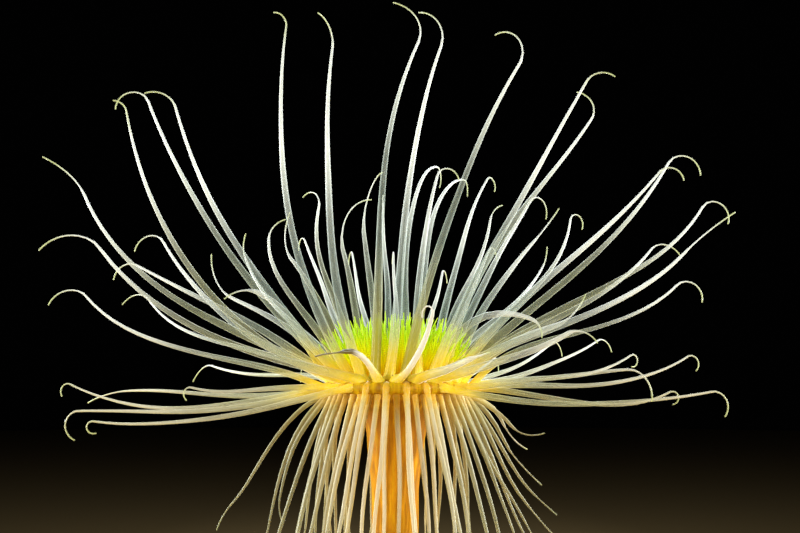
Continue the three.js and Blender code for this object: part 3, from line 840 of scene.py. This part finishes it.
def tentacle_colour(n, f):
    colour = tentacle_flesh(n, f)
    # two short ones in front are pale from the root
    colour = n.mix(n.times(f.short, n.between(f.along, *PETAL_FROM, 0, 0.8)), colour, PETAL)
    # painted light and shade: one that hangs has painted shade, golden and darker, at its flanks and a
    # painted highlight, pale cream, along its outer side
    painted_flank_shade = n.times(n.between(f.outer, 0.75, 0.1, 0, 0.75), n.times(f.fall, n.between(f.along, *FLANK_SHADE_TO)))
    colour = n.mix(painted_flank_shade, colour, FLANK_SHADE)
    painted_highlight = n.times(n.between(f.outer, 0.3, 0.95, 0, 0.8), n.times(f.fall, n.between(f.along, *HIGHLIGHT_FROM)))
    colour = n.mix(painted_highlight, colour, HIGHLIGHT_CREAM)
    # painted shade: the hanging ones at the sides are darker, duller and greener than those in front
    painted_side_shade = n.between(n.math("ABSOLUTE", n.metres("X")), *SIDE_SHADE_FROM, 0, 0.7)
    colour = n.mix(n.times(painted_side_shade, n.between(f.fall, 0.3, 0.9)), colour, SIDE_SHADE_MOSS)
    # pale lines along it, and a fine grain
    pale = n.times(f.line, n.between(f.along, *LINES_FROM, 0.1, 0.35))
    pale = n.times(pale, n.between(f.fall, 0, 1, 1.0, 0.4))
    colour = n.mix(pale, colour, WHITE)
    colour = n.mix(n.between(n.noise(1500, 2.0), 0.42, 0.68, 0.0, 0.12), colour, WHITE)
    # the tip of one short one is brown, and two long ones are dusky in their lower halves
    colour = n.mix(f.dull, colour, BROWN)
    return n.mix(n.times(f.dusky, 0.8), colour, DUSK)


def tentacle_alpha(n, f):
    """Clear at its middle line in the frosty stretch, solid at the edges, the root and the tip."""
    body = n.ramp(n.between(f.along, 0, CLEARING), CLEAR_LEVELS)
    body = n.plus(body, n.between(f.tone, 0, 1, 0.07, 0.14))
    for field, share in ((f.fall, 0.3), (f.dusky, 0.35), (f.short, 0.5)):
        body = n.plus(body, n.times(field, share))
    body = n.plus(body, n.times(n.between(f.raised, 0, 1, 0.12, 0), n.between(f.fall, 0, 0.4, 1, 0)))
    body = n.plus(body, n.times(f.line, n.between(f.along, *LINES_FROM, 0.05, 0.14)), clamp=True)
    body = n.math("MAXIMUM", body, n.times(f.solid, 0.78))
    edge = n.math("POWER", n.add("LayerWeight", {"Blend": 0.5}).outputs["Facing"], 2.2)
    return n.plus(body, n.times(edge, n.math("SUBTRACT", 1.0, body)), clamp=True)


def tentacle_painted_glow(n, f):
    """Painted glow, emission that stands in for the light coming through the flesh: most at the root, and
    some in the milky stretch.
    """
    glow = n.times(n.between(f.along, *PAINTED_GLOW_DIM_FROM, 0.22, 0.05), n.between(f.fall, 0, 1, 1.0, 0.6))
    return n.plus(glow, n.times(f.solid, n.between(f.raised, 0, 1, 0, 0.08)))


def tentacle_material():
    material, shader = new_material("tentacle_flesh")
    n = Nodes(material)
    f = tentacle_fields(n)
    colour = tentacle_colour(n, f)
    n.put(colour, shader.inputs["Base Color"])
    # painted glow: the flesh emits its own colour
    n.put(colour, shader.inputs["Emission Color"])
    n.put(tentacle_alpha(n, f), shader.inputs["Alpha"])
    n.put(tentacle_painted_glow(n, f), shader.inputs["Emission Strength"])
    n.put(n.between(f.dull, 0, 1, 0.9, 0.1), shader.inputs["Sheen Weight"])
    shader.inputs["Sheen Roughness"].default_value = 0.2
    shader.inputs["Roughness"].default_value = 0.36
    shader.inputs["IOR"].default_value = 1.38
    return material


def labial_material():
    material, shader = new_material("labial_flesh")
    n = Nodes(material)
    reach = n.attribute("reach")
    place = n.plus(reach, n.between(n.attribute("tone"), 0, 1, -0.06, 0.06))
    colour = n.ramp(place, LABIAL_COLOURS)
    n.put(colour, shader.inputs["Base Color"])
    n.put(colour, shader.inputs["Emission Color"])
    # painted glow: the labials emit their own colour, more towards their tips
    n.put(n.between(reach, 0.1, 0.6, 0.14, 0.27), shader.inputs["Emission Strength"])
    shader.inputs["Roughness"].default_value = 0.4
    shader.inputs["IOR"].default_value = 1.38
    shader.inputs["Subsurface Weight"].default_value = 0.4
    shader.inputs["Subsurface Radius"].default_value = (1.0, 1.0, 0.3)
    shader.inputs["Subsurface Scale"].default_value = 0.002
    return material


def body_material():
    material, shader = new_material("body_flesh")
    n = Nodes(material)
    height = n.attribute("reach")
    # its own colours, with painted shade just under the disc
    colour = n.ramp(n.between(height, *BODY_HEIGHTS), BODY_COLOURS_AND_SHADE)
    streaks = n.noise(420, 4.0, (1, 1, 0.1))
    colour = n.mix(n.between(streaks, 0.54, 0.68, 0.0, 0.7), colour, STREAK_PALE)
    colour = n.mix(n.between(streaks, 0.52, 0.36, 0.0, 0.8), colour, STREAK_DARK)
    colour = n.mix(n.between(n.noise(110, 4.0), 0.5, 0.75, 0.0, 0.3), colour, BLOTCH)
    # painted light and shade of folds that run down over the rim between the roots: pale on the ridges,
    # dark in the creases
    folds = n.strip_noise((110, 5, 1))
    on_rim = n.between(height, *RIM_FROM)
    colour = n.mix(n.times(on_rim, n.between(folds, 0.5, 0.62, 0, 0.35)), colour, FOLD_PAINTED_LIGHT)
    colour = n.mix(n.times(on_rim, n.between(folds, 0.5, 0.4, 0, 0.35)), colour, FOLD_PAINTED_SHADE)
    n.put(colour, shader.inputs["Base Color"])
    # painted glow: the body emits its own colour
    n.put(colour, shader.inputs["Emission Color"])
    n.put(n.ramp(n.between(height, *PAINTED_GLOW_HEIGHTS), BODY_PAINTED_GLOW), shader.inputs["Emission Strength"])
    bump = n.add("Bump", {"Height": n.noise(600, 4.0, (1, 1, 0.3)), "Strength": 0.4, "Distance": 0.0008})
    n.put(bump.outputs[0], shader.inputs["Normal"])
    shader.inputs["Roughness"].default_value = 0.55
    shader.inputs["IOR"].default_value = 1.25
    shader.inputs["Subsurface Weight"].default_value = 0.25
    shader.inputs["Subsurface Radius"].default_value = (1.0, 0.45, 0.15)
    shader.inputs["Subsurface Scale"].default_value = 0.004
    return material


def base_material():
    material, shader = new_material("base_satin")
    n = Nodes(material)
    speck = n.noise(1400, 2.0)
    n.put(n.ramp(speck, BASE_COLOURS), shader.inputs["Base Color"])
    n.put(n.between(n.noise(70, 4.0), 0.3, 0.7, 0.42, 0.54), shader.inputs["Roughness"])
    bump = n.add("Bump", {"Height": speck, "Strength": 0.08, "Distance": 0.0002})
    n.put(bump.outputs[0], shader.inputs["Normal"])
    return material


# ---- the two pieces ----
def make_skin():
    skin = Skin()
    make_body(skin)
    make_tentacles(skin)
    make_labials(skin)
    obj = skin.object("skin", [body_material(), tentacle_material(), labial_material()])
    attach(obj, "root")
    flesh = [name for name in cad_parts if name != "stand_base"]
    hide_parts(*flesh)


def base_profile():
    """The base's outline from its underside over both rounded edges to its top: radius and height."""
    radius, height, edge = BASE["radius"], BASE["height"], BASE["edge"]
    flat = radius - edge - 1
    profile = [(flat, 0)]
    for centre, start in ((edge, -90), (height - edge, 0)):
        for step in range(BASE_EDGE_STEPS + 1):
            a = math.radians(start + 90 * step / BASE_EDGE_STEPS)
            profile.append((radius - edge + edge * math.cos(a), centre + edge * math.sin(a)))
    return profile + [(flat, height), (radius * 0.5, height)]


def make_base():
    profile = base_profile()
    sides = BASE_SIDES
    points = []
    for r, z in profile:
        for a in around(sides):
            points.append((r * math.cos(a) * MM, r * math.sin(a) * MM, z * MM))
    faces = []
    for i in range(len(profile) - 1):
        for j in range(sides):
            k = (j + 1) % sides
            faces.append((i * sides + j, i * sides + k, (i + 1) * sides + k, (i + 1) * sides + j))
    faces.append(tuple(range(sides))[::-1])
    faces.append(tuple(range(len(points) - sides, len(points))))
    mesh = bpy.data.meshes.new("base_disc")
    mesh.from_pydata(points, [], faces)
    mesh.materials.append(base_material())
    mesh.shade_smooth()
    mesh.update()
    obj = add_object("base_disc", mesh)
    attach(obj, "root")
    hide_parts("stand_base")


# ---- floor, lights and camera ----
def make_floor():
    bpy.ops.mesh.primitive_circle_add(vertices=128, radius=FLOOR_RADIUS, fill_type="NGON")
    floor = bpy.context.object
    floor.name = "floor"
    material, shader = new_material("floor_pale")
    shader.inputs["Base Color"].default_value = (*FLOOR_COLOUR, 1)
    shader.inputs["Roughness"].default_value = 0.85
    floor.data.materials.append(material)


def make_light(name, place, size, power, colour):
    """A round lamp that faces the crown and isn't seen itself."""
    data = bpy.data.lights.new(name, "AREA")
    data.shape = "DISK"
    data.size = size
    data.energy = power
    data.color = colour
    obj = add_object(name, data)
    obj.location = place
    aim = np.array(CROWN) - np.array(place)
    level = math.hypot(aim[0], aim[1])
    obj.rotation_euler = (math.pi / 2 + math.atan2(aim[2], level), 0, math.atan2(-aim[0], aim[1]))
    obj.visible_camera = False


def make_lights():
    for side, sign in (("left", -1), ("right", 1)):
        for light in SIDE_LIGHTS:
            x, y, z = light["place"]
            name = light["name"] + "_" + side
            make_light(name, (sign * x, y, z), light["size"], light["power"], light["colour"])
    make_light("top_back", **TOP_LIGHT)
    world = bpy.data.worlds.new("studio")
    world.use_nodes = True
    world.node_tree.nodes["Background"].inputs["Color"].default_value = (*WORLD_COLOUR, 1)
    bpy.context.scene.world = world


def make_camera():
    data = bpy.data.cameras.new("camera")
    data.lens = CAMERA["lens"]
    data.sensor_width = CAMERA["sensor"]
    obj = add_object("camera", data)
    obj.location = CAMERA["place"]
    obj.rotation_euler = (math.radians(CAMERA["tilt"]), 0, 0)
    bpy.context.scene.camera = obj


make_skin()
make_base()
make_floor()
make_lights()
make_camera()
scene = bpy.context.scene
scene.view_settings.view_transform = "Standard"
scene.cycles.transparent_max_bounces = CLEAR_LAYERS
